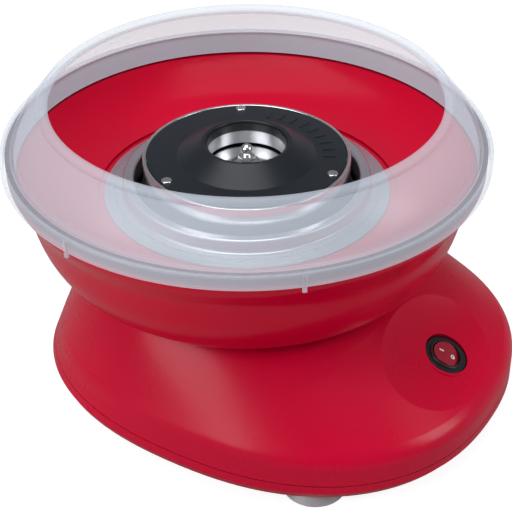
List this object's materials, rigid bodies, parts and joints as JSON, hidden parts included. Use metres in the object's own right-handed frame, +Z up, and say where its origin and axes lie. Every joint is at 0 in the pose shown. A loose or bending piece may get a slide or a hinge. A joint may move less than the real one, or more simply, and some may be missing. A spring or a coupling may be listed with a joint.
{
  "type": "cotton candy machine",
  "caption": "Table-top cotton candy maker: red oval base with front rocker switch, lift-off round bowl, milky rim guard and a spinning heated head with a sugar well.",
  "frame": {"origin": "centre of the footprint at the level the feet stand on", "axes": "+Z up along the spindle, -Y towards the switch and the user, +X to the user's right"},
  "size_m": [0.256, 0.278, 0.17],
  "materials": {
    "housing_red": "glossy moulded",
    "bowl_red": "glossy moulded",
    "guard_milky": "milky translucent",
    "foot_soft": "soft translucent",
    "grommet_rubber": "matt",
    "screw_steel": "zinc plated",
    "lamination_steel": "stacked sheet",
    "shaft_steel": "ground",
    "copper_winding": "varnished wire",
    "bracket_cast": "as cast",
    "bush_bronze": "machined",
    "tray_black": "satin black enamel",
    "heater_sheath": "oxidised sheath",
    "ceramic_white": "bisque",
    "cutout_case": "moulded",
    "switch_black": "fine satin",
    "rocker_red": "glossy translucent red",
    "mark_white": "printed",
    "block_white": "moulded",
    "head_aluminium": "spun and polished",
    "nut_chrome": "bright plated"
  },
  "bodies": {
    "base": {"upper_housing": "housing_red", "lower_housing": "housing_red", "suction_feet": "foot_soft", "housing_screws": "screw_steel", "motor_stator": "lamination_steel", "motor_coil": "copper_winding", "motor_top_bracket": "bracket_cast", "motor_bottom_bracket": "bracket_cast", "motor_bushes": "bush_bronze", "motor_screws": "screw_steel", "motor_grommets": "grommet_rubber", "heater_tray": "tray_black", "tray_insulators": "ceramic_white", "tray_screws": "screw_steel", "heater_ring": "heater_sheath", "heater_posts": "ceramic_white", "thermal_cutout": "cutout_case", "switch_body": "switch_black", "switch_terminals": "bush_bronze", "cord_gland": "switch_black", "terminal_block": "block_white", "terminal_screws": "bush_bronze"},
    "rocker": {"rocker": "rocker_red", "rocker_marks": "mark_white"},
    "spindle": {"motor_shaft": "shaft_steel", "motor_rotor": "lamination_steel", "cooling_fan": "switch_black", "drive_pin": "shaft_steel"},
    "head": {"head_dish": "head_aluminium", "head_cover": "tray_black", "sugar_well": "tray_black", "head_rivets": "screw_steel", "head_hub": "head_aluminium", "hub_washer": "screw_steel", "ball_nut": "nut_chrome"},
    "bowl": {"collecting_bowl": "bowl_red", "heat_ring": "head_aluminium", "ring_retainer": "head_aluminium"},
    "guard": {"splash_guard": "guard_milky"}
  },
  "joints": [
    {"name": "spindle_spin", "type": "hinge", "parent": "base", "child": "spindle", "pos_m": [0, 0.011, 0.1], "axis": [0, 0, 1], "continuous": true},
    {"name": "head_lift", "type": "slide", "parent": "spindle", "child": "head", "axis": [0, 0, 1], "range_m": [0, 0.06]},
    {"name": "bowl_lift", "type": "slide", "parent": "base", "child": "bowl", "axis": [0, 0, 1], "range_m": [0, 0.07]},
    {"name": "guard_lift", "type": "slide", "parent": "bowl", "child": "guard", "axis": [0, 0, 1], "range_m": [0, 0.05]},
    {"name": "rocker_press", "type": "hinge", "parent": "base", "child": "rocker", "pos_m": [0.0022, -0.10953, 0.0439], "axis": [-0.9703, -0.2227, -0.0945], "range_deg": [0, 17]}
  ]
}
